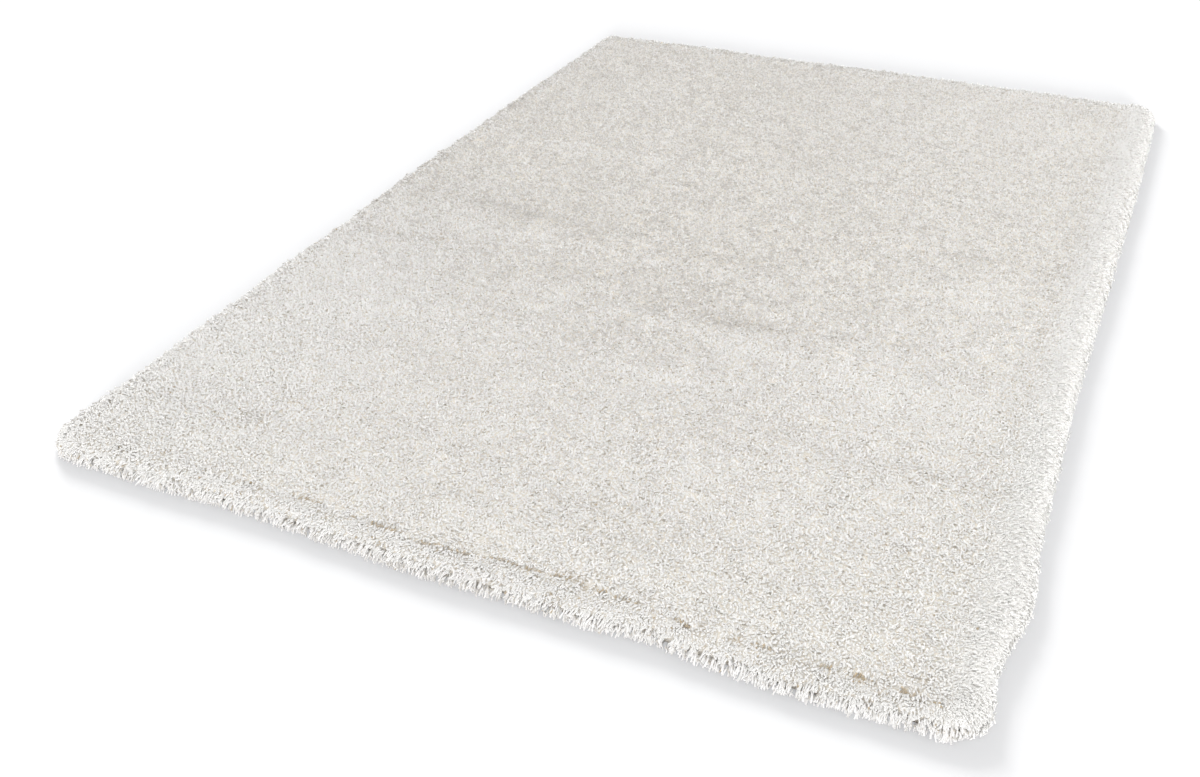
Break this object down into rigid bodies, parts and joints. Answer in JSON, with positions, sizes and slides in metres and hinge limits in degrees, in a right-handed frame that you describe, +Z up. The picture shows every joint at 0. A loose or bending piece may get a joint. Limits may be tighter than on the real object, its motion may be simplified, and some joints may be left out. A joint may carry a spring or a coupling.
{
  "type": "woven deep-pile rug",
  "caption": "Rectangular woven rug with rounded corners and a deep cream cut pile, lying flat, its outer yarns leaning out over the edge.",
  "frame": {"origin": "on the floor under the middle of the rug", "axes": "+X across the rug, +Y along it, away from the short side where the pile parts, +Z up out of the floor"},
  "size_m": [1.6196, 2.314, 0.0399],
  "materials": {
    "pile_yarn": "matte cut pile of soft cream yarn, warmer towards its roots"
  },
  "bodies": {
    "root": {"rug": "pile_yarn"}
  },
  "joints": []
}
